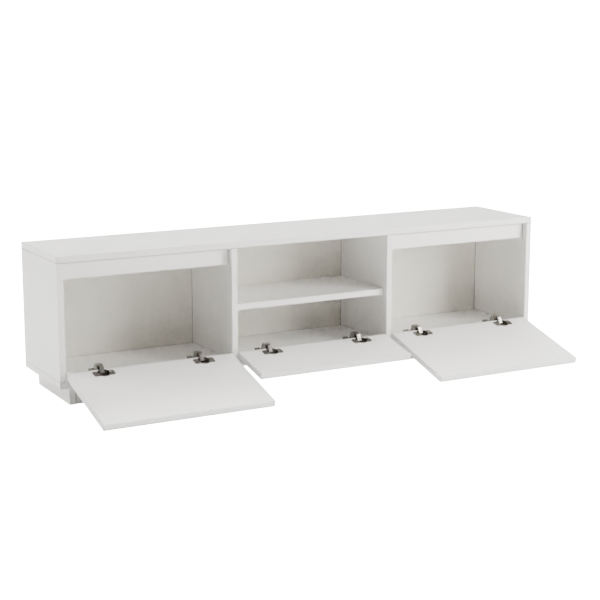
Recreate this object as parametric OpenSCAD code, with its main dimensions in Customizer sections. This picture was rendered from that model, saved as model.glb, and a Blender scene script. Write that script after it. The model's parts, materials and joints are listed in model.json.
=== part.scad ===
// Low television stand with three drop-front doors.
// The carcass stands on two box-framed feet. Each bay is closed by an inset door that
// tips forward on two concealed cup hinges, and the middle bay also holds a fixed shelf.
// Front is -Y and the left bay is -X. The doors are drawn open, at their hinge stops.

/* [Carcass] */
// Overall width
width = 1600; // [1400:10:1800]
// Overall depth without the doors
depth = 300; // [280:5:360]
// Height of the box above the feet
carcass_h = 370; // [350:2:420]
// Thickness of every board
board_t = 18; // [16:1:19]
// Distance from the rear edges to the front of the back panels
back_inset = 20; // [14:1:30]
// Thickness of the back panels
back_t = 3; // [3:0.5:4]

/* [Feet] */
// Height of the feet
foot_h = 54; // [50:2:90]
// Width of each foot
foot_w = 480; // [360:10:500]
// Setback of the feet from the ends of the carcass
foot_side_inset = 33; // [20:1:60]
// Setback of the feet from the front
foot_front_inset = 20; // [10:1:60]
// Setback of the feet from the rear
foot_back_inset = 15; // [5:1:60]

/* [Inside] */
// Height of the rail under the top in a side bay
rail_h = 50; // [46:1:60]
// Setback of the rails and the shelf behind the front edges
rail_inset = 20; // [19:0.5:30]
// Height of the shelf's top above the floor of the middle bay
shelf_rise = 164; // [160:1:200]
// Gap between the shelf and the panels around it
shelf_gap = 0.5; // [0.2:0.1:1]

/* [Doors] */
// Height of the two side doors
side_door_h = 285; // [282:1:286]
// Height of the middle door
center_door_h = 150; // [149:1:158]
// Gap beside each door
door_side_gap = 2; // [1.5:0.5:4]
// Gap under each door
door_foot_gap = 2.5; // [2:0.5:3]
// How far a side door opens
side_open = 106; // [90:0.5:106]
// How far the middle door opens
center_open = 103; // [90:0.5:106]

/* [Hinges] */
// Distance from a door's side edge to its hinge
hinge_inset = 100; // [60:5:140]
// Height of the hinge line above the door's lower edge
axis_rise = 4.5; // [4:0.5:5]
// Diameter of the cup
cup_d = 35; // [35]
// Distance from the door's lower edge to the middle of the cup
cup_rise = 21.5; // [21:0.5:23]
// Distance between the two screws of a cup
cup_screw_span = 48; // [45:1:52]
// Turn of the outer link for each degree of the door
outer_ratio = 0.72; // [0.71:0.01:0.73]
// Turn of the inner link for each degree of the door
inner_ratio = 0.77; // [0.76:0.01:0.78]

/* [Hidden] */
$fn = 64;

// Colours
WHITE = [0.90, 0.90, 0.89];
CREAM = [0.86, 0.84, 0.79];
BEECH = [0.80, 0.65, 0.45];
NICKEL = [0.72, 0.70, 0.67];
ZINC = [0.60, 0.60, 0.62];

// Levels of the carcass
floor_z = foot_h + board_t;
top_z = foot_h + carcass_h;
ceiling_z = top_z - board_t;
inner_h = ceiling_z - floor_z;
bay_w = (width - 4 * board_t) / 3;
divider_x = (bay_w + board_t) / 2;
side_x = (width - board_t) / 2;
bay_pitch = bay_w + board_t;
eps = 0.1;
fit = 0.05;

// The hinge line of the doors lies in the front plane
door_z = floor_z + door_foot_gap;
axis_z = door_z + axis_rise;
door_t = board_t;
door_w = bay_w - 2 * door_side_gap;
tip_rise = side_door_h - axis_rise;
tip_y = door_t * cos(side_open) - tip_rise * sin(side_open);

// Front plane, with the origin in the middle of the box that the open stand fills
front_y = -(depth + min(tip_y, 0)) / 2;

// Grooves for the back panels
groove_depth = 5;
groove_gap = 0.2;
groove_front_gap = 1.8;
groove_w = groove_front_gap + back_t + groove_gap;
back_y = depth - back_inset;
back_bite = groove_depth - 0.5;

// Joinery
dowel_r = 4;
dowel_l = 35;
dowel_in_board = 12;
dowel_y = [50, 245];
cam_r = 7.5;
cam_h = 12.5;
cam_drop = 34;
cam_y = [90, 205];
cam_bolt_r = 3;
cam_bolt_up = 11;
panel_screw_r = 3.4;
panel_screw_l = 50;
panel_screw_head_r = 5;
panel_screw_head_h = 4;
panel_screw_y = [80, 220];
rail_gap = 0.7;
rail_dowel_l = 30;
rail_dowel_in_panel = 10;
rail_dowel_z = [12, rail_h - 12];
panel_xs = [-side_x, -divider_x, divider_x, side_x];

// Shelf
shelf_z = floor_z + shelf_rise - board_t;
shelf_depth = back_y - rail_inset - 3.5;
pin_r = 2.5;
pin_in = 8;
pin_out = 7;
pin_pad_h = 1.5;
pin_y = [40, shelf_depth - 40];

// Feet
block_w = 30;
block_lift = 4;
foot_cross_gap = 1.5;
foot_cross_inset = 2;
foot_depth = depth - foot_front_inset - foot_back_inset;
foot_front_y = foot_front_inset + foot_cross_inset;
foot_back_y = depth - foot_back_inset - foot_cross_inset - board_t;
foot_screw_r = 2.2;
foot_screw_in_board = 12;
foot_screw_head_r = 4.2;
foot_screw_head_h = 2.5;

// Hinge, in the plane across the hinge line: the first value runs back and the second up
sheet_t = 1.4;
flange_t = 1.2;
cup_wall = 0.8;
cup_depth = 12.7;
cup_r = cup_d / 2;
cup_gap = 0.1;
cup_mouth_r = cup_r - cup_gap - cup_wall;
flange_r = 19.5;
flange_half = 31.5;
flange_low = -15;
flange_high = 11;
flange_cut = 3.5;
notch_w = 14;
notch_from = 13;
notch_depth = 6;
cup_screw_offset = 6;
cup_screw_r = 1.75;
cup_screw_l = 12;
cup_screw_head_r = 3.9;
cup_screw_head_h = 1.8;
arm_w = 16.4;
arm_top = 5;
arm_tail_y = 79;
nose_in_r = 20;
arm_outside = [[7, 29.7], [7.8, 30.5], [28, 30.5], [30, 29.3], [40, arm_top], [arm_tail_y, arm_top]];
arm_inside = [[0, 29.1], [27.2, 29.1], [28.7, 28.75], [39.05, arm_top - sheet_t]];
rivet_r = 1.8;
rivet_h = 0.9;
rivets = [[22.8, 62], [27.6, 66]];
plate_t = 2.5;
plate_y = 57;
plate_body_l = 44;
plate_wing_l = 50;
plate_wing_w = 16;
plate_block_y = [40, 76];
plate_block_w = 13.2;
plate_screw_x = 16;
plate_screw_r = 3;
plate_screw_l = 12;
plate_screw_head_r = 4.5;
plate_screw_head_h = 1.8;
arm_screw_y = [46, 68];
arm_screw_r = 2.5;
arm_screw_l = 7;
arm_screw_head_r = 4;
arm_screw_head_h = 1.8;

// Links: width, thickness, outer radius of the bend, its start, and the plate's offset and end,
// with the plate drawn as it stands beside a door that is open by link_open
link_open = 106;
outer_link = [12, 1.9, 28.8, -12.5, 23.8, 14];
inner_link = [7, 1.5, 23.5, -15, 20.5, 13.2];
driver_w = 1;
driver_depth = 0.9;

// ---- Helpers ----

// Moves children to a place measured from the front plane
module at(x, y, z) {
    translate([x, front_y + y, z]) children();
}

// A box given by its low corner and its size
module slab(low, size) {
    at(low[0], low[1], low[2]) cube(size);
}

// Turns children about the hinge line
module turned(angle) {
    at(0, 0, axis_z) rotate([angle, 0, 0]) at(0, -2 * front_y, -axis_z) children();
}

// Children drawn across the hinge line, thick along X, at a hinge's place
module across(x, thick) {
    at(x, 0, axis_z) rotate([90, 0, 90])
        linear_extrude(thick, center = true) children();
}

function around(r, a) = [r * cos(a), r * sin(a)];

// A stretch of a ring, less than half a turn long
module ring_part(r_in, r_out, from, to) {
    reach = 2 * r_out;
    intersection() {
        difference() {
            circle(r_out, $fn = 128);
            circle(r_in, $fn = 128);
        }
        polygon([
            [0, 0], around(reach, from), around(reach * 1.5, (from + to) / 2), around(reach, to)
        ]);
    }
}

// Screw with a domed head and a crossed recess, its head on the plane and its point down
module pan_screw(r, length, head_r, head_h) {
    translate([0, 0, -length]) cylinder(length + eps, r, r);
    difference() {
        union() {
            cylinder(head_h * 0.5, head_r, head_r);
            translate([0, 0, head_h * 0.5 - 0.001]) cylinder(head_h * 0.5, head_r, head_r * 0.7);
        }
        cross_recess(head_r, head_h);
    }
}

module cross_recess(head_r, head_h) {
    for (a = [0, 90])
        rotate(a) translate([-head_r * 0.55, -driver_w / 2, head_h - driver_depth])
            cube([head_r * 1.1, driver_w, driver_depth + eps]);
}

// Screw with a flat cone head, its head's face on the plane and its point up
module flat_screw(r, length, head_r, head_h) {
    difference() {
        union() {
            cylinder(head_h, head_r, r);
            cylinder(length, r, r);
        }
        for (a = [0, 90])
            rotate(a) translate([-head_r * 0.5, -driver_w / 2, -eps])
                cube([head_r, driver_w, driver_depth + eps]);
    }
}

module flat_screw_hole(r, length, head_r, head_h) {
    cylinder(head_h, head_r + fit, r + fit);
    cylinder(length + 1, r + fit, r + fit);
    translate([0, 0, -1]) cylinder(1 + eps, head_r + fit, head_r + fit);
}

// ---- Joinery, each drawn once for the piece and once for its hole ----

module panel_dowels(grow) {
    for (x = panel_xs, y = dowel_y)
        at(x, y, ceiling_z + dowel_in_board - dowel_l - grow)
            cylinder(dowel_l + 2 * grow, dowel_r + grow, dowel_r + grow);
}

module rail_dowels(grow) {
    for (side = [-1, 1], end = [-1, 1], z = rail_dowel_z) {
        face = side * bay_pitch + end * bay_w / 2;
        inner = face - end * (rail_dowel_l - rail_dowel_in_panel) / 2;
        mid = inner + end * rail_dowel_in_panel / 2;
        at(mid, rail_inset + board_t / 2, ceiling_z - rail_h + z) rotate([0, 90, 0])
            cylinder(rail_dowel_l + 2 * grow, dowel_r + grow, dowel_r + grow, center = true);
    }
}

// Cams open into the side bays, behind the rails
function cam_side(x) = abs(x) > divider_x ? -sign(x) : sign(x);

module at_cams() {
    for (x = panel_xs, y = cam_y)
        at(x + cam_side(x) * board_t / 2, y, ceiling_z - cam_drop)
            rotate([0, -cam_side(x) * 90, 0]) children();
}

module cam_bolt_shapes(grow) {
    for (x = panel_xs, y = cam_y)
        at(x, y, ceiling_z - cam_drop - grow)
            cylinder(cam_drop + cam_bolt_up + 2 * grow, cam_bolt_r + grow, cam_bolt_r + grow);
}

module at_panel_screws() {
    for (x = panel_xs, y = panel_screw_y)
        at(x, y, foot_h) children();
}

module panel_screw_holes() {
    at_panel_screws()
        flat_screw_hole(panel_screw_r, panel_screw_l, panel_screw_head_r, panel_screw_head_h);
}

module at_blocks() {
    first_x = width / 2 - foot_side_inset - board_t - block_w / 2;
    last_x = first_x - foot_w + 2 * board_t + block_w;
    first_y = foot_front_inset + foot_cross_inset + board_t + block_w / 2;
    last_y = first_y + foot_depth - 2 * (board_t + foot_cross_inset) - block_w;
    for (side = [-1, 1], x = [first_x, last_x], y = [first_y, last_y])
        at(side * x, y, block_lift) children();
}

foot_screw_l = foot_h - block_lift + foot_screw_in_board;

module foot_screw_holes() {
    at_blocks() translate([0, 0, -eps])
        cylinder(foot_screw_l + 1 + eps, foot_screw_r + fit, foot_screw_r + fit);
}

module shelf_pin_shapes(grow) {
    for (side = [-1, 1], y = pin_y)
        at(side * (bay_w / 2 + (pin_in - pin_out) / 2), rail_inset + y,
            shelf_z - pin_pad_h - pin_r + eps)
            rotate([0, 90, 0])
                cylinder(pin_in + pin_out + 2 * grow, pin_r + grow, pin_r + grow, center = true);
}

// ---- Carcass ----

module groove_run(z) {
    run = width - 2 * (board_t - groove_depth);
    slab([-run / 2, back_y - groove_front_gap, z], [run, groove_w, groove_depth + eps]);
}

module top_panel() {
    color(WHITE) difference() {
        slab([-width / 2, 0, ceiling_z], [width, depth, board_t]);
        groove_run(ceiling_z - eps);
        panel_dowels(fit);
        cam_bolt_shapes(fit);
    }
}

module bottom_panel() {
    color(WHITE) difference() {
        slab([-width / 2, 0, foot_h], [width, depth, board_t]);
        groove_run(floor_z - groove_depth);
        panel_screw_holes();
        foot_screw_holes();
        for (x = hinge_xs()) at_plate_screws(x)
            translate([0, 0, -plate_screw_l - 1])
                cylinder(plate_screw_l + 2, plate_screw_r + fit, plate_screw_r + fit);
    }
}

// An upright board with a groove for a back panel on the faces named
module upright(x, groove_sides) {
    difference() {
        slab([x - board_t / 2, 0, floor_z], [board_t, depth, inner_h]);
        for (s = groove_sides)
            slab([x + s * board_t / 2 - (s > 0 ? groove_depth : eps),
                back_y - groove_front_gap, floor_z - eps],
                [groove_depth + eps, groove_w, inner_h + 2 * eps]);
        panel_dowels(fit);
        rail_dowels(fit);
        cam_bolt_shapes(fit);
        at_cams() translate([0, 0, -cam_h - 0.3]) cylinder(cam_h + 1, cam_r + fit, cam_r + fit);
        panel_screw_holes();
        shelf_pin_shapes(fit);
    }
}

module side_panel_left() { color(WHITE) upright(-side_x, [1]); }
module side_panel_right() { color(WHITE) upright(side_x, [-1]); }
module divider_left() { color(WHITE) upright(-divider_x, [-1, 1]); }
module divider_right() { color(WHITE) upright(divider_x, [-1, 1]); }

module back_panel(bay) {
    color(CREAM)
        slab([bay * bay_pitch - bay_w / 2 - back_bite, back_y, floor_z - back_bite],
            [bay_w + 2 * back_bite, back_t, inner_h + 2 * back_bite]);
}

module back_panel_left() { back_panel(-1); }
module back_panel_center() { back_panel(0); }
module back_panel_right() { back_panel(1); }

module shelf() {
    color(WHITE)
        slab([-bay_w / 2 + shelf_gap, rail_inset, shelf_z],
            [bay_w - 2 * shelf_gap, shelf_depth, board_t]);
}

module shelf_pins() {
    color(NICKEL) {
        shelf_pin_shapes(0);
        for (side = [-1, 1], y = pin_y)
            slab([side * (bay_w / 2 - pin_out / 2) - pin_out / 2, rail_inset + y - 4,
                shelf_z - pin_pad_h - 1],
                [pin_out, 8, pin_pad_h + 1]);
    }
}

module top_rail(side) {
    color(WHITE) difference() {
        slab([side * bay_pitch - bay_w / 2 + rail_gap, rail_inset, ceiling_z - rail_h],
            [bay_w - 2 * rail_gap, board_t, rail_h]);
        rail_dowels(fit);
    }
}

module top_rail_left() { top_rail(-1); }
module top_rail_right() { top_rail(1); }

// ---- Feet: two side boards, with a front and a back board between them ----

module foot_side(side, from_outer) {
    edge = width / 2 - foot_side_inset - from_outer;
    color(WHITE)
        slab([side > 0 ? edge - board_t : -edge, foot_front_inset, 0],
            [board_t, foot_depth, foot_h]);
}

module foot_cross(side, y) {
    run = foot_w - 2 * board_t - 2 * foot_cross_gap;
    edge = width / 2 - foot_side_inset - board_t - foot_cross_gap;
    color(WHITE) slab([side > 0 ? edge - run : -edge, y, 0], [run, board_t, foot_h]);
}

module foot_left_outer() { foot_side(-1, 0); }
module foot_left_inner() { foot_side(-1, foot_w - board_t); }
module foot_left_front() { foot_cross(-1, foot_front_y); }
module foot_left_back() { foot_cross(-1, foot_back_y); }
module foot_right_outer() { foot_side(1, 0); }
module foot_right_inner() { foot_side(1, foot_w - board_t); }
module foot_right_front() { foot_cross(1, foot_front_y); }
module foot_right_back() { foot_cross(1, foot_back_y); }

module foot_blocks() {
    color(BEECH) difference() {
        at_blocks() translate([-block_w / 2, -block_w / 2, 0])
            cube([block_w, block_w, foot_h - block_lift]);
        foot_screw_holes();
        at_blocks() translate([0, 0, -eps])
            cylinder(foot_screw_head_h + eps + fit, foot_screw_head_r + fit,
                foot_screw_head_r + fit);
    }
}

module foot_screws() {
    color(ZINC) at_blocks() difference() {
        union() {
            cylinder(foot_screw_l, foot_screw_r, foot_screw_r);
            cylinder(foot_screw_head_h, foot_screw_head_r, foot_screw_head_r);
        }
        for (a = [0, 90])
            rotate(a) translate([-foot_screw_head_r * 0.55, -driver_w / 2, -eps])
                cube([foot_screw_head_r * 1.1, driver_w, driver_depth + eps]);
    }
}

// ---- Fasteners of the carcass ----

module dowels() {
    color(BEECH) {
        panel_dowels(0);
        rail_dowels(0);
    }
}

module cam_bolts() {
    color(ZINC) cam_bolt_shapes(0);
}

module cam_discs() {
    color(ZINC) difference() {
        at_cams() translate([0, 0, -cam_h]) difference() {
            cylinder(cam_h, cam_r, cam_r);
            translate([0, 0, cam_h]) cross_recess(cam_r, 0);
        }
        cam_bolt_shapes(fit);
    }
}

module panel_screws() {
    color(ZINC) at_panel_screws()
        flat_screw(panel_screw_r, panel_screw_l, panel_screw_head_r, panel_screw_head_h);
}

// ---- Hinges ----

function hinge_x(bay, end) = bay * bay_pitch + end * (door_w / 2 - hinge_inset);
function hinge_xs() = [for (bay = [-1, 0, 1], end = [-1, 1]) hinge_x(bay, end)];

module at_plate_screws(x) {
    for (s = [-1, 1]) at(x + s * plate_screw_x, plate_y, floor_z) children();
}

module at_arm_screws(x) {
    for (y = arm_screw_y) at(x, y, axis_z + arm_top) children();
}

module mounting_plate(x) {
    block_l = plate_block_y[1] - plate_block_y[0];
    block_top = arm_top - sheet_t - 0.2;
    difference() {
        union() {
            slab([x - arm_w / 2, plate_y - plate_body_l / 2, floor_z],
                [arm_w, plate_body_l, plate_t]);
            slab([x - plate_wing_l / 2 + plate_wing_w / 2, plate_y - plate_wing_w / 2, floor_z],
                [plate_wing_l - plate_wing_w, plate_wing_w, plate_t]);
            for (s = [-1, 1])
                at(x + s * (plate_wing_l - plate_wing_w) / 2, plate_y, floor_z)
                    cylinder(plate_t, plate_wing_w / 2, plate_wing_w / 2);
            slab([x - plate_block_w / 2, plate_block_y[0], floor_z],
                [plate_block_w, block_l, axis_z - floor_z + block_top]);
        }
        at_plate_screws(x) translate([0, 0, -1])
            cylinder(plate_t + 2, plate_screw_r + fit, plate_screw_r + fit);
        at_arm_screws(x) translate([0, 0, -arm_screw_l - 1])
            cylinder(arm_screw_l + 2, arm_screw_r + fit, arm_screw_r + fit);
    }
}

module mounting_plates(bay) {
    color(NICKEL) for (end = [-1, 1]) mounting_plate(hinge_x(bay, end));
}

module hinge_plate_left() { mounting_plates(-1); }
module hinge_plate_center() { mounting_plates(0); }
module hinge_plate_right() { mounting_plates(1); }

module hinge_plate_screws() {
    color(NICKEL) for (x = hinge_xs()) at_plate_screws(x) translate([0, 0, plate_t])
        pan_screw(plate_screw_r, plate_screw_l + plate_t, plate_screw_head_r,
            plate_screw_head_h);
}

module hinge_arm_screws() {
    color(NICKEL) for (x = hinge_xs()) at_arm_screws(x)
        pan_screw(arm_screw_r, arm_screw_l, arm_screw_head_r, arm_screw_head_h);
}

// Side view of an arm: a low channel that is cranked up to a nose over the hinge line
module arm_outline() {
    low = floor_z + plate_t - axis_z;
    nose_y = arm_outside[0][0];
    difference() {
        polygon(concat([[arm_tail_y, low], [nose_y, low]], arm_outside));
        circle(nose_in_r, $fn = 128);
    }
}

module arm_hollow() {
    low = floor_z - axis_z;
    tail = arm_tail_y + eps;
    polygon(concat([[tail, low], [0, low]], arm_inside, [[tail, arm_top - sheet_t]]));
}

module hinge_arm(bay, end) {
    x = hinge_x(bay, end);
    color(NICKEL) difference() {
        union() {
            across(x, arm_w) arm_outline();
            for (rivet = rivets)
                across(x, arm_w + 2 * rivet_h) translate(around(rivet[0], rivet[1]))
                    circle(rivet_r);
        }
        across(x, arm_w - 2 * sheet_t) arm_hollow();
        at_arm_screws(x) translate([0, 0, -arm_screw_l])
            cylinder(arm_screw_l + 1, arm_screw_r + fit, arm_screw_r + fit);
    }
}

module hinge_arm_left_a() { hinge_arm(-1, -1); }
module hinge_arm_left_b() { hinge_arm(-1, 1); }
module hinge_arm_center_a() { hinge_arm(0, -1); }
module hinge_arm_center_b() { hinge_arm(0, 1); }
module hinge_arm_right_a() { hinge_arm(1, -1); }
module hinge_arm_right_b() { hinge_arm(1, 1); }

// ---- Doors and what rides on them, drawn shut and then turned open ----

function open_angle(bay) = bay == 0 ? center_open : side_open;

// Cup frame: on the door's inner face, with the cup's axis along Z out of the door
module at_cup(bay, end) {
    at(hinge_x(bay, end), door_t, door_z + cup_rise) rotate([-90, 0, 0]) children();
}

module at_cup_screws(bay, end) {
    at_cup(bay, end) for (s = [-1, 1])
        translate([s * cup_screw_span / 2, -cup_screw_offset, flange_t]) children();
}

module door(bay) {
    h = bay == 0 ? center_door_h : side_door_h;
    color(WHITE) turned(open_angle(bay)) difference() {
        slab([bay * bay_pitch - door_w / 2, 0, door_z], [door_w, door_t, h]);
        for (end = [-1, 1]) {
            at_cup(bay, end) translate([0, 0, -cup_depth - cup_gap])
                cylinder(cup_depth + 1, cup_r, cup_r);
            at_cup_screws(bay, end) translate([0, 0, -cup_screw_l - 1])
                cylinder(cup_screw_l + 1, cup_screw_r + fit, cup_screw_r + fit);
        }
    }
}

module door_left() { door(-1); }
module door_center() { door(0); }
module door_right() { door(1); }

module flange_outline() {
    circle(flange_r, $fn = 96);
    x = flange_half;
    c = flange_cut;
    polygon([
        [c - x, flange_low], [x - c, flange_low], [x, flange_low + c], [x, flange_high - c],
        [x - c, flange_high], [c - x, flange_high], [-x, flange_high - c], [-x, flange_low + c]
    ]);
}

module hinge_cup(bay, end) {
    color(NICKEL) turned(open_angle(bay)) difference() {
        at_cup(bay, end) difference() {
            union() {
                linear_extrude(flange_t) flange_outline();
                translate([0, 0, -cup_depth])
                    cylinder(cup_depth + eps, cup_r - cup_gap, cup_r - cup_gap);
            }
            translate([0, 0, -cup_depth + cup_wall])
                cylinder(cup_depth + flange_t, cup_mouth_r, cup_mouth_r);
            translate([-notch_w / 2, notch_from, -notch_depth])
                cube([notch_w, flange_r, notch_depth + flange_t + eps]);
        }
        at_cup_screws(bay, end) translate([0, 0, -flange_t - 1])
            cylinder(flange_t + 2, cup_screw_r + fit, cup_screw_r + fit);
    }
}

module hinge_cup_left_a() { hinge_cup(-1, -1); }
module hinge_cup_left_b() { hinge_cup(-1, 1); }
module hinge_cup_center_a() { hinge_cup(0, -1); }
module hinge_cup_center_b() { hinge_cup(0, 1); }
module hinge_cup_right_a() { hinge_cup(1, -1); }
module hinge_cup_right_b() { hinge_cup(1, 1); }

module cup_screws(bay) {
    color(NICKEL) turned(open_angle(bay)) for (end = [-1, 1]) at_cup_screws(bay, end)
        pan_screw(cup_screw_r, cup_screw_l, cup_screw_head_r, cup_screw_head_h);
}

module cup_screws_left() { cup_screws(-1); }
module cup_screws_center() { cup_screws(0); }
module cup_screws_right() { cup_screws(1); }

// Side view of a link: a bend inside the arm's nose, then a flat plate down into the cup.
// The plate is drawn in the open door's own frame, and turned by what the link lags behind it.
module link_outline(link, ratio) {
    t = link[1];
    r = link[2];
    c = link[4];
    end = link[5];
    lag = link_open * (1 - ratio);
    top = asin(c / (r * sqrt(2))) - 45;
    inner_c = c - t * sqrt(2);
    inner_top = asin(inner_c / ((r - t) * sqrt(2))) - 45;
    ring_part(r - t, r, link[3], top + lag);
    rotate(lag) polygon([
        around(r, top), [end, c - end], [end - t / sqrt(2), c - end - t / sqrt(2)],
        around(r - t, inner_top)
    ]);
}

module links(bay, link, ratio) {
    color(NICKEL) turned(ratio * open_angle(bay)) for (end = [-1, 1])
        across(hinge_x(bay, end), link[0]) link_outline(link, ratio);
}

module outer_links_left() { links(-1, outer_link, outer_ratio); }
module outer_links_center() { links(0, outer_link, outer_ratio); }
module outer_links_right() { links(1, outer_link, outer_ratio); }
module inner_links_left() { links(-1, inner_link, inner_ratio); }
module inner_links_center() { links(0, inner_link, inner_ratio); }
module inner_links_right() { links(1, inner_link, inner_ratio); }

// ---- What is drawn ----

top_panel();
bottom_panel();
side_panel_left();
side_panel_right();
divider_left();
divider_right();
back_panel_left();
back_panel_center();
back_panel_right();
shelf();
shelf_pins();
top_rail_left();
top_rail_right();
foot_left_outer();
foot_left_inner();
foot_left_front();
foot_left_back();
foot_right_outer();
foot_right_inner();
foot_right_front();
foot_right_back();
foot_blocks();
foot_screws();
dowels();
cam_bolts();
cam_discs();
panel_screws();
hinge_plate_left();
hinge_plate_center();
hinge_plate_right();
hinge_plate_screws();
hinge_arm_screws();
hinge_arm_left_a();
hinge_arm_left_b();
hinge_arm_center_a();
hinge_arm_center_b();
hinge_arm_right_a();
hinge_arm_right_b();
door_left();
door_center();
door_right();
hinge_cup_left_a();
hinge_cup_left_b();
hinge_cup_center_a();
hinge_cup_center_b();
hinge_cup_right_a();
hinge_cup_right_b();
cup_screws_left();
cup_screws_center();
cup_screws_right();
outer_links_left();
outer_links_center();
outer_links_right();
inner_links_left();
inner_links_center();
inner_links_right();
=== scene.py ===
import json
import math

import bmesh
import bpy
from mathutils import Matrix, Vector


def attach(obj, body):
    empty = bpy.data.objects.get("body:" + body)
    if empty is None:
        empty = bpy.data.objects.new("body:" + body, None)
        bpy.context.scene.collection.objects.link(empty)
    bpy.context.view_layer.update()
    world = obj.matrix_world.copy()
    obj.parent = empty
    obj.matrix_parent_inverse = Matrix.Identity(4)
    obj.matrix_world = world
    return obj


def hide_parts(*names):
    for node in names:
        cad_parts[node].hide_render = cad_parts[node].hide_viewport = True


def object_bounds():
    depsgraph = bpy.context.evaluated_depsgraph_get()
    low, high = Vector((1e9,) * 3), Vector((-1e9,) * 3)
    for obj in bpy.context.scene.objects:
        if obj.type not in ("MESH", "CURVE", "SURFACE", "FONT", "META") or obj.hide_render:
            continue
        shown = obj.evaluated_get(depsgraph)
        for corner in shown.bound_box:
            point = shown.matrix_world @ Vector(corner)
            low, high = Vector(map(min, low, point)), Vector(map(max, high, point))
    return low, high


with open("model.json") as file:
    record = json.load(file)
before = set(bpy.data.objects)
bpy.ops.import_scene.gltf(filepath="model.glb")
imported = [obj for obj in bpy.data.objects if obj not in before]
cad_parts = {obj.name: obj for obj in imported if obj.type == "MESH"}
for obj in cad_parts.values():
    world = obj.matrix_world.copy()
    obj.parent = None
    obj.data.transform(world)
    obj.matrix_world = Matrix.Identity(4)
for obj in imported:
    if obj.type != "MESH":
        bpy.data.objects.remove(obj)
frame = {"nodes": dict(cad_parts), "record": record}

cad_low, cad_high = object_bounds()
MM = 0.001

# ---- Material helpers ----


def rgb(r, g, b):
    return (r, g, b, 1.0)


class Nodes:
    """A material's node tree, with short calls for the nodes that the finishes share."""

    def __init__(self, name):
        self.material = bpy.data.materials.new(name)
        self.material.use_nodes = True
        self.tree = self.material.node_tree
        self.tree.nodes.clear()
        self.output = self.tree.nodes.new("ShaderNodeOutputMaterial")
        self.shader = self.tree.nodes.new("ShaderNodeBsdfPrincipled")
        self.tree.links.new(self.shader.outputs["BSDF"], self.output.inputs["Surface"])

    def put(self, value, socket):
        """Joins an output to a socket, or writes a plain value into it."""
        if isinstance(value, bpy.types.NodeSocket):
            self.tree.links.new(value, socket)
        else:
            socket.default_value = value

    def set(self, **values):
        """Sets the shader's sockets. Underscores in a name stand for spaces."""
        for key, value in values.items():
            self.put(value, self.shader.inputs[key.replace("_", " ")])

    def node(self, kind, **settings):
        made = self.tree.nodes.new(kind)
        for key, value in settings.items():
            setattr(made, key, value)
        return made

    def attribute(self, name, output, kind="GEOMETRY"):
        made = self.node("ShaderNodeAttribute", attribute_name=name, attribute_type=kind)
        return made.outputs[output]

    def object_coords(self):
        return self.node("ShaderNodeTexCoord").outputs["Object"]

    def math(self, operation, a, b=0.0, c=0.0):
        made = self.node("ShaderNodeMath", operation=operation)
        for value, socket in zip((a, b, c), made.inputs):
            self.put(value, socket)
        return made.outputs[0]

    def vector(self, operation, a, b=(0, 0, 0)):
        made = self.node("ShaderNodeVectorMath", operation=operation)
        self.put(a, made.inputs[0])
        self.put(b, made.inputs[1])
        return made.outputs[0]

    def parts(self, vector):
        """The x, y and z of a vector."""
        made = self.node("ShaderNodeSeparateXYZ")
        self.put(vector, made.inputs[0])
        return made.outputs

    def rise(self, value, low, high, start=0.0, end=1.0):
        """A smooth step from start, at low, to end, at high."""
        made = self.node("ShaderNodeMapRange", interpolation_type="SMOOTHSTEP")
        for item, socket in zip((value, low, high, start, end), made.inputs):
            self.put(item, socket)
        return made.outputs[0]

    def fade(self, value, low, high):
        """A smooth step from 1, at low, to 0, at high."""
        return self.rise(value, low, high, start=1.0, end=0.0)

    def noise(self, where, scale, detail=3.0, roughness=0.5):
        made = self.node("ShaderNodeTexNoise")
        self.put(where, made.inputs["Vector"])
        made.inputs["Scale"].default_value = scale
        made.inputs["Detail"].default_value = detail
        made.inputs["Roughness"].default_value = roughness
        return made.outputs["Fac"]

    def mix(self, share, a, b):
        made = self.node("ShaderNodeMix", data_type="RGBA")
        self.put(share, made.inputs["Factor"])
        self.put(a, made.inputs["A"])
        self.put(b, made.inputs["B"])
        return made.outputs["Result"]

    def partly(self, share, mask, a, b):
        """Mixes at most the given share of b into a, where the mask is."""
        return self.mix(self.math("MULTIPLY", mask, share), a, b)

    def bump(self, height, strength, distance, under=None):
        made = self.node("ShaderNodeBump")
        made.inputs["Strength"].default_value = strength
        made.inputs["Distance"].default_value = distance
        self.put(height, made.inputs["Height"])
        if under is not None:
            self.put(under, made.inputs["Normal"])
        return made.outputs["Normal"]


# ---- Board finishes ----
# Every board stores these for its finish: board_at, where a point is from the board's middle, along its
# two wide ways and then through it; half, its half size; seed, a number of its own; raw, 1 for each way
# whose ends butt against other boards; and under, the sign of the long edge that a top covers, or 0.

# The edge bands glued round the boards, and the half width of their glue line, full and to its end
BAND = 1.0 * MM
GLUE_FULL = 0.12 * MM
GLUE_END = 0.26 * MM
# On an end face, a band's own edge is this near the board's end
ON_END = 0.3 * MM
# Further in than this from every face, a board shows its core
CORE_FROM = 0.45 * MM
# A raw end is the skin of this depth at the end of a board
RAW_SKIN = 0.2 * MM
# Rubbed edges fade between these distances from the edge, painted shade along joints at raw ends between
# these, and the painted shadow of a top's overhang on the board just under it between these
RUBBED = (0.2 * MM, 1.6 * MM)
JOINT_SHADE = (0.3 * MM, 2.0 * MM)
UNDER_TOP_SHADE = (4.0 * MM, 9.0 * MM)
# The back panels' margins inside their grooves, painted near-black as painted shade for the dark slot at
# the bays' back corners, end between these distances from their edges
GROOVE_SHADE_MARGIN = (4.2 * MM, 4.5 * MM)

RUBBED_TONE = rgb(0.70, 0.69, 0.66)
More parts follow.
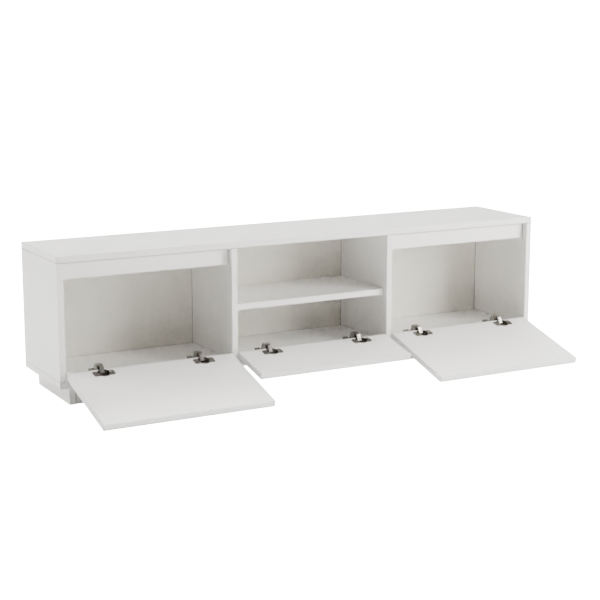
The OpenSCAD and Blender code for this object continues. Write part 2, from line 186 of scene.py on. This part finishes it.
# Colour of the painted shade under a top and along the joints
PAINTED_SHADE_TONE = rgb(0.36, 0.34, 0.31)
GLUE_TONE = rgb(0.34, 0.33, 0.31)
CHIPS_DARK, CHIPS_PALE = rgb(0.30, 0.20, 0.12), rgb(0.46, 0.34, 0.22)
# Near-black painted shade for the back panels' margins in their grooves
GROOVE_SHADE_TONE = rgb(0.13, 0.09, 0.06)


def board_place(n, spread):
    """Where a point is on its board, and the same place moved by the board's seed, so that no two match."""
    at = n.attribute("board_at", "Vector")
    seed = n.attribute("seed", "Fac", "OBJECT")
    return at, n.vector("ADD", at, n.vector("MULTIPLY", seed, spread))


def board_depths(n, at):
    """The board's half size, and how far in a point is from the board's ends and faces."""
    half = n.attribute("half", "Vector", "OBJECT")
    return half, n.parts(n.vector("SUBTRACT", half, n.vector("ABSOLUTE", at)))


def glue_lines(n, x, y):
    """The joint lines of the edge bands: round the wide faces, and on each end where two bands meet."""
    to_edge = n.math("MINIMUM", x, y)
    on_face = n.math("ABSOLUTE", n.math("SUBTRACT", to_edge, BAND))
    on_end = n.math("ABSOLUTE", n.math("SUBTRACT", n.math("MAXIMUM", x, y), BAND))
    on_end = n.math("ADD", on_end, n.math("GREATER_THAN", to_edge, ON_END))
    return n.fade(n.math("MINIMUM", on_face, on_end), GLUE_FULL, GLUE_END)


def raw_ends(n, x, y, z):
    """The distance from the nearest raw end, and a mask of the raw ends' own faces."""
    raw_x, raw_y, _ = n.parts(n.attribute("raw", "Vector", "OBJECT"))
    skip_x = n.math("SUBTRACT", 1.0, raw_x)
    skip_y = n.math("SUBTRACT", 1.0, raw_y)
    to_raw = n.math("MINIMUM", n.math("ADD", x, skip_x), n.math("ADD", y, skip_y))
    to_other = n.math("MINIMUM", n.math("ADD", x, raw_x), n.math("ADD", y, raw_y))
    in_skin = n.math("LESS_THAN", to_raw, RAW_SKIN)
    off_faces = n.math("GREATER_THAN", n.math("MINIMUM", to_other, z), CORE_FROM)
    return to_raw, n.math("MULTIPLY", in_skin, off_faces)


def shade_under_top(n, half, at):
    """A mask of painted shade on a board just under the top that covers its long edge, where the top's
    overhang casts its shadow.
    """
    under = n.attribute("under", "Fac", "OBJECT")
    below = n.math("SUBTRACT", n.parts(half)[1], n.math("MULTIPLY", n.parts(at)[1], under))
    return n.math("MULTIPLY", n.math("ABSOLUTE", under), n.fade(below, *UNDER_TOP_SHADE))


def laminate(name, tone, shade):
    """Satin white melamine on chipboard, with the glue lines of its edge bands and rubbed edges, and
    painted shade along the joints at raw ends and under a covering top. Raw ends, grooves and bores show
    the chipboard."""
    n = Nodes(name)
    at, where = board_place(n, (7.3, 3.1, 0.0))
    half, (x, y, z) = board_depths(n, at)
    to_edge = n.math("MINIMUM", x, y)
    cloud = n.noise(where, scale=3.0, detail=2.0)
    smudge = n.noise(where, scale=14.0, detail=4.0, roughness=0.6)
    grain = n.noise(where, scale=1400.0, detail=2.0)
    peel = n.noise(where, scale=260.0, detail=3.0, roughness=0.55)
    chips = n.noise(where, scale=520.0, detail=3.0, roughness=0.7)

    arris = n.math("MAXIMUM", to_edge, n.math("MINIMUM", n.math("MAXIMUM", x, y), z))
    rubbed = n.math("MULTIPLY", n.fade(arris, *RUBBED), n.rise(smudge, 0.42, 0.62))
    glue = glue_lines(n, x, y)
    to_raw, raw_end = raw_ends(n, x, y, z)
    core = n.math("MAXIMUM", n.math("GREATER_THAN", n.math("MINIMUM", to_edge, z), CORE_FROM), raw_end)
    # Painted shadow of the top's overhang on a rail just under it
    under_top_shade = n.math("MULTIPLY", shade_under_top(n, half, at), 0.60)
    # Painted shade along the joints at raw ends, where the boards meet, joined with the painted shadow
    # under the top
    painted_shade = n.math("MAXIMUM", under_top_shade, n.math("MULTIPLY", n.fade(to_raw, *JOINT_SHADE), 0.55))

    colour = n.mix(n.rise(cloud, 0.3, 0.7), tone, shade)
    colour = n.partly(0.35, rubbed, colour, RUBBED_TONE)
    # The painted shade darkens the colour
    colour = n.mix(painted_shade, colour, PAINTED_SHADE_TONE)
    colour = n.partly(0.75, glue, colour, GLUE_TONE)
    wood = n.mix(n.rise(chips, 0.35, 0.65), CHIPS_DARK, CHIPS_PALE)
    n.set(Base_Color=n.mix(core, colour, wood), IOR=1.47)

    rough = n.math("MULTIPLY_ADD", n.rise(smudge, 0.3, 0.75), 0.10, 0.30)
    rough = n.math("MULTIPLY_ADD", grain, 0.05, rough)
    rough = n.math("MULTIPLY_ADD", rubbed, -0.08, rough)
    n.set(Roughness=n.math("MAXIMUM", rough, n.math("MULTIPLY", core, 0.85)))

    normal = n.bump(grain, strength=0.10, distance=0.02 * MM)
    normal = n.bump(peel, strength=0.12, distance=0.05 * MM, under=normal)
    normal = n.bump(n.math("MULTIPLY", core, chips), strength=0.5, distance=0.3 * MM, under=normal)
    n.set(Normal=n.bump(glue, strength=0.6, distance=-0.05 * MM, under=normal))
    return n.material


def fibreboard(name, tone, shade, fleck_tone):
    """The thin lacquered back board: a cream coat with faint pressed fibres, and near-black painted shade
    along the margins that sit in the grooves, for the dark slot at the bays' back corners."""
    n = Nodes(name)
    at, where = board_place(n, (5.7, 0.0, 0.0))
    _, (x, y, _) = board_depths(n, at)
    # Painted shade: the margins in the grooves go near-black, for the dark slot at the bays' back corners
    groove_shade = n.fade(n.math("MINIMUM", x, y), *GROOVE_SHADE_MARGIN)
    cloud = n.noise(where, scale=4.0, detail=3.0, roughness=0.6)
    fibre = n.noise(n.vector("MULTIPLY", where, (1.0, 5.0, 1.0)), scale=420.0, detail=4.0, roughness=0.7)
    fleck = n.rise(n.noise(where, scale=900.0, detail=2.0, roughness=0.6), 0.62, 0.74)
    colour = n.mix(n.rise(cloud, 0.3, 0.7), tone, shade)
    colour = n.partly(0.18, fleck, colour, fleck_tone)
    n.set(Base_Color=n.mix(groove_shade, colour, GROOVE_SHADE_TONE))
    n.set(Roughness=n.math("MULTIPLY_ADD", fibre, 0.18, 0.42))
    n.set(Normal=n.bump(fibre, strength=0.18, distance=0.05 * MM))
    return n.material


# ---- Metal and wood finishes ----

PIT_TONE = rgb(0.22, 0.20, 0.18)


def plated(name, bright, dull, roughness, scratch):
    """Plated steel, with drawing lines, finger marks and dark pits."""
    n = Nodes(name)
    coords = n.object_coords()
    lines = n.noise(n.vector("MULTIPLY", coords, (1.0, 0.06, 1.0)), scale=2600.0, detail=3.0, roughness=0.6)
    cloud = n.noise(coords, scale=90.0, detail=4.0, roughness=0.6)
    pits = n.rise(n.noise(coords, scale=1100.0, detail=2.0), 0.64, 0.74)
    colour = n.mix(n.rise(cloud, 0.35, 0.7), bright, dull)
    n.set(Base_Color=n.partly(0.35, pits, colour, PIT_TONE), Metallic=1.0)
    rough = n.math("MULTIPLY_ADD", n.rise(cloud, 0.3, 0.75), 0.14, roughness)
    n.set(Roughness=n.math("MULTIPLY_ADD", lines, 0.10, rough))
    n.set(Normal=n.bump(lines, strength=scratch, distance=0.02 * MM))
    return n.material


def beech(name, pale, dark, ray_tone, glow_tone):
    """Raw beech, with rays and growth lines along the length."""
    n = Nodes(name)
    coords = n.object_coords()
    glow = n.noise(coords, scale=30.0, detail=3.0)
    lines = n.noise(n.vector("MULTIPLY", coords, (0.3, 6.0, 6.0)), scale=180.0, detail=4.0, roughness=0.6)
    rays = n.noise(n.vector("MULTIPLY", coords, (1.0, 8.0, 8.0)), scale=260.0, detail=2.0)
    colour = n.mix(n.rise(lines, 0.3, 0.7), pale, dark)
    colour = n.partly(0.4, n.rise(rays, 0.60, 0.70), colour, ray_tone)
    n.set(Base_Color=n.partly(0.15, glow, colour, glow_tone))
    n.set(Roughness=n.math("MULTIPLY_ADD", lines, 0.15, 0.55))
    n.set(Normal=n.bump(lines, strength=0.25, distance=0.08 * MM))
    return n.material


finish = {
    "white_laminate": laminate(
        "white_laminate_satin", tone=rgb(0.905, 0.888, 0.861), shade=rgb(0.895, 0.878, 0.851)),
    "back_board": fibreboard(
        "back_board_cream", tone=rgb(0.88, 0.85, 0.78), shade=rgb(0.86, 0.83, 0.755),
        fleck_tone=rgb(0.62, 0.56, 0.46)),
    "nickel_steel": plated(
        "nickel_plated_steel", bright=rgb(0.27, 0.25, 0.225), dull=rgb(0.16, 0.148, 0.13),
        roughness=0.18, scratch=0.12),
    "zinc_steel": plated(
        "zinc_plated_steel", bright=rgb(0.60, 0.61, 0.62), dull=rgb(0.48, 0.49, 0.50),
        roughness=0.34, scratch=0.15),
    "beech": beech(
        "raw_beech", pale=rgb(0.66, 0.46, 0.28), dark=rgb(0.55, 0.36, 0.20),
        ray_tone=rgb(0.42, 0.25, 0.13), glow_tone=rgb(0.72, 0.53, 0.34)),
}

# ---- Boards ----

# Radius of a board's edges, and of a thin back panel's
ROUND = 0.7 * MM
THIN_ROUND = 0.2 * MM
# Only convex edges longer and sharper than this are rounded, so bores and grooves stay crisp
LONG_EDGE = 12.0 * MM
SHARP_EDGE = math.radians(60)
# Flat faces that turn less than this are joined, and points nearer than this are one
FLAT = math.radians(1)
SAME_POINT = 0.001 * MM
# A point this near the end of its board is on it
AT_END = 0.01 * MM
# How far a raw end stops short of the board that it meets, and how far a rail does
HAIRLINE = 0.35 * MM
RAIL_GAP = 3 * HAIRLINE


def board_frame(bm):
    """The board's own axes, thin one last, with its middle and half size, from its largest flat face."""
    thin = max(bm.faces, key=lambda face: face.calc_area()).normal.copy()
    across = Vector((1, 0, 0)) if abs(thin.x) < 0.5 else Vector((0, 1, 0))
    along = thin.cross(across).normalized()
    axes = Matrix((across, along, thin))
    places = [axes @ v.co for v in bm.verts]
    low = Vector([min(p[i] for p in places) for i in range(3)])
    high = Vector([max(p[i] for p in places) for i in range(3)])
    return axes, (low + high) / 2, (high - low) / 2


def draw_back_ends(bm, axes, middle, half, short):
    """Moves the points on a board's ends towards its middle by short, which has a length for each way."""
    for v in bm.verts:
        place = axes @ v.co - middle
        for i in range(2):
            if abs(abs(place[i]) - half[i]) < AT_END:
                place[i] -= math.copysign(short[i], place[i])
        v.co = axes.transposed() @ (place + middle)


def round_edges(bm, radius):
    """Rounds a board's long outer edges, and shades it all smooth."""
    outer = [
        e for e in bm.edges
        if e.calc_length() > LONG_EDGE and e.is_convex and len(e.link_faces) == 2
        and e.calc_face_angle() > SHARP_EDGE
    ]
    bmesh.ops.bevel(
        bm, geom=outer, offset=radius, segments=3, profile=0.5, affect="EDGES", clamp_overlap=True)
    for face in bm.faces:
        face.smooth = True


def board(node, body, slot, radius=ROUND, raw=(0, 0, 0), gap=HAIRLINE, under_top=False):
    """A board built from its CAD node, with its edges rounded and its own coordinates for the finish.
    raw marks the way whose ends butt against other boards. Those ends stop short of them by gap."""
    bm = bmesh.new()
    bm.from_mesh(frame["nodes"][node].data)
    for layer in list(bm.loops.layers.uv):
        bm.loops.layers.uv.remove(layer)
    bmesh.ops.remove_doubles(bm, verts=bm.verts, dist=SAME_POINT)
    bmesh.ops.dissolve_limit(bm, angle_limit=FLAT, verts=bm.verts, edges=bm.edges)
    axes, middle, half = board_frame(bm)
    short = Vector(raw) * gap
    draw_back_ends(bm, axes, middle, half, short)
    round_edges(bm, radius)

    mesh = bpy.data.meshes.new(node + "_board")
    bm.to_mesh(mesh)
    bm.free()
    layer = mesh.attributes.new("board_at", "FLOAT_VECTOR", "POINT")
    for i, v in enumerate(mesh.vertices):
        layer.data[i].vector = axes @ v.co - middle
    mesh.materials.clear()
    mesh.materials.append(finish[slot])

    piece = bpy.data.objects.new(node + "_board", mesh)
    bpy.context.scene.collection.objects.link(piece)
    piece["half"] = list(half - short)
    piece["raw"] = [float(r) for r in raw]
    piece["under"] = math.copysign(1.0, axes[1].z) if under_top else 0.0
    piece["seed"] = (sum(map(ord, node)) % 97) / 97.0
    normals = piece.modifiers.new("even_normals", "WEIGHTED_NORMAL")
    normals.keep_sharp = True
    normals.weight = 100
    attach(piece, body)
    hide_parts(node)


def white_board(node, body, slot):
    """A laminated board, with raw ends where it butts against others."""
    if node.startswith(("side_panel", "divider")):
        board(node, body, slot, raw=(0, 1, 0))
    elif node.startswith("top_rail"):
        board(node, body, slot, raw=(1, 0, 0), gap=RAIL_GAP, under_top=True)
    elif node == "shelf" or node.endswith(("_front", "_back")):
        board(node, body, slot, raw=(1, 0, 0))
    else:
        board(node, body, slot)


# ---- Hardware ----


def press_edges(cad):
    """Rounds the sharp edges of pressed steel a little, with a modifier."""
    edges = cad.modifiers.new("pressed_edges", "BEVEL")
    edges.width = 0.25 * MM
    edges.segments = 2
    edges.limit_method = "ANGLE"
    edges.angle_limit = math.radians(50)


# ---- Every node ----

body_of = {
    node: body
    for body, members in frame["record"]["behaviour"]["bodies"].items() for node in members
}
slot_of = {part["node"]: part["material_slot"] for part in frame["record"]["subparts"]}
for node, cad in frame["nodes"].items():
    slot = slot_of[node]
    if slot == "back_board":
        board(node, body_of[node], slot, radius=THIN_ROUND)
    elif slot == "white_laminate":
        white_board(node, body_of[node], slot)
    else:
        cad.material_slots[0].material = finish[slot]
        if slot == "nickel_steel":
            press_edges(cad)

# ---- Stage and world ----

FLOOR_RADIUS = 30.0
FLOOR_DROP = 0.2 * MM
AIR_LIGHT = 0.02
# Brightness that the view transform shows as pure white
PAPER_WHITE = 20.0


def seen_white(tree, shaded, output, paper_kind):
    """Shows a shader as bare white paper to the camera, and keeps it for the light it gives back."""
    rays = tree.nodes.new("ShaderNodeLightPath")
    paper = tree.nodes.new(paper_kind)
    paper.inputs["Color"].default_value = rgb(1.0, 1.0, 1.0)
    paper.inputs["Strength"].default_value = PAPER_WHITE
    choice = tree.nodes.new("ShaderNodeMixShader")
    tree.links.new(rays.outputs["Is Camera Ray"], choice.inputs["Fac"])
    tree.links.new(shaded, choice.inputs[1])
    tree.links.new(paper.outputs[0], choice.inputs[2])
    tree.links.new(choice.outputs[0], output.inputs["Surface"])


def make_floor():
    n = Nodes("studio_floor")
    soft = n.noise(n.object_coords(), scale=0.6, detail=2.0)
    n.set(Base_Color=n.mix(soft, rgb(0.96, 0.96, 0.96), rgb(0.98, 0.98, 0.98)))
    n.set(Roughness=0.9, Specular_IOR_Level=0.1)
    seen_white(n.tree, n.shader.outputs["BSDF"], n.output, "ShaderNodeEmission")
    bm = bmesh.new()
    bmesh.ops.create_circle(bm, cap_ends=True, segments=96, radius=FLOOR_RADIUS)
    mesh = bpy.data.meshes.new("studio_floor")
    bm.to_mesh(mesh)
    bm.free()
    mesh.materials.append(n.material)
    floor = bpy.data.objects.new("studio_floor", mesh)
    floor.location = (0, 0, cad_low.z - FLOOR_DROP)
    bpy.context.scene.collection.objects.link(floor)


def make_world():
    world = bpy.data.worlds.new("studio")
    world.use_nodes = True
    tree = world.node_tree
    air = tree.nodes["Background"]
    air.inputs["Color"].default_value = rgb(1.0, 1.0, 1.0)
    air.inputs["Strength"].default_value = AIR_LIGHT
    seen_white(tree, air.outputs[0], tree.nodes["World Output"], "ShaderNodeBackground")
    bpy.context.scene.world = world


# ---- Lamps ----

# The point that every lamp is aimed at
LIT_MIDDLE = Vector((0.0, 0.0, 0.2))
# A lamp's distance and the side of its square, in metres
NEAR = (3.2, 1.6)
FAR = (9.0, 4.0)
SPARK = (4.0, 0.8)
# Name, azimuth, elevation, kind and watts. Azimuth 0 is in front of the stand and 90 is to its right.
LAMPS = (
    ("key_front_right", 45, 15, NEAR, 73.0),
    ("glint_front_right", 46, 34, SPARK, 38.0),
    ("fill_front_right", 20, 38, NEAR, 4.0),
    ("fill_front_left", -20, 38, NEAR, 5.0),
    ("fill_far", 35, 12, FAR, 62.0),
    ("side_left", -100, 38, NEAR, 60.0),
    ("rim_left", -120, 12, FAR, 180.0),
    ("side_right", 100, 38, NEAR, 19.0),
    ("above", 0, 89, NEAR, 49.0),
    ("above_rear", 150, 56, FAR, 820.0),
)


def softbox(name, azimuth, elevation, kind, watts):
    """A square lamp aimed at the stand."""
    turn, lift = math.radians(azimuth), math.radians(elevation)
    away = Vector((math.sin(turn) * math.cos(lift), -math.cos(turn) * math.cos(lift), math.sin(lift)))
    distance, side = kind
    light = bpy.data.lights.new(name, "AREA")
    light.shape = "SQUARE"
    light.size = side
    light.energy = watts
    lamp = bpy.data.objects.new(name, light)
    lamp.location = LIT_MIDDLE + away * distance
    lamp.rotation_euler = (-away).to_track_quat("-Z", "Y").to_euler()
    bpy.context.scene.collection.objects.link(lamp)


# ---- Camera ----

CAMERA_AT = (-2.0927, -3.7476, 1.0875)
CAMERA_TILT = math.radians(78.654)
CAMERA_TURN = math.radians(-28.690)
LENS = 87.79
SENSOR = 36.0


def make_camera():
    data = bpy.data.cameras.new("camera")
    data.lens = LENS
    data.sensor_width = SENSOR
    camera = bpy.data.objects.new("camera", data)
    camera.location = CAMERA_AT
    camera.rotation_euler = (CAMERA_TILT, 0.0, CAMERA_TURN)
    bpy.context.scene.collection.objects.link(camera)
    bpy.context.scene.camera = camera


make_floor()
make_world()
for lamp in LAMPS:
    softbox(*lamp)
make_camera()
bpy.context.scene.view_settings.view_transform = "Filmic"
bpy.context.scene.view_settings.look = "None"
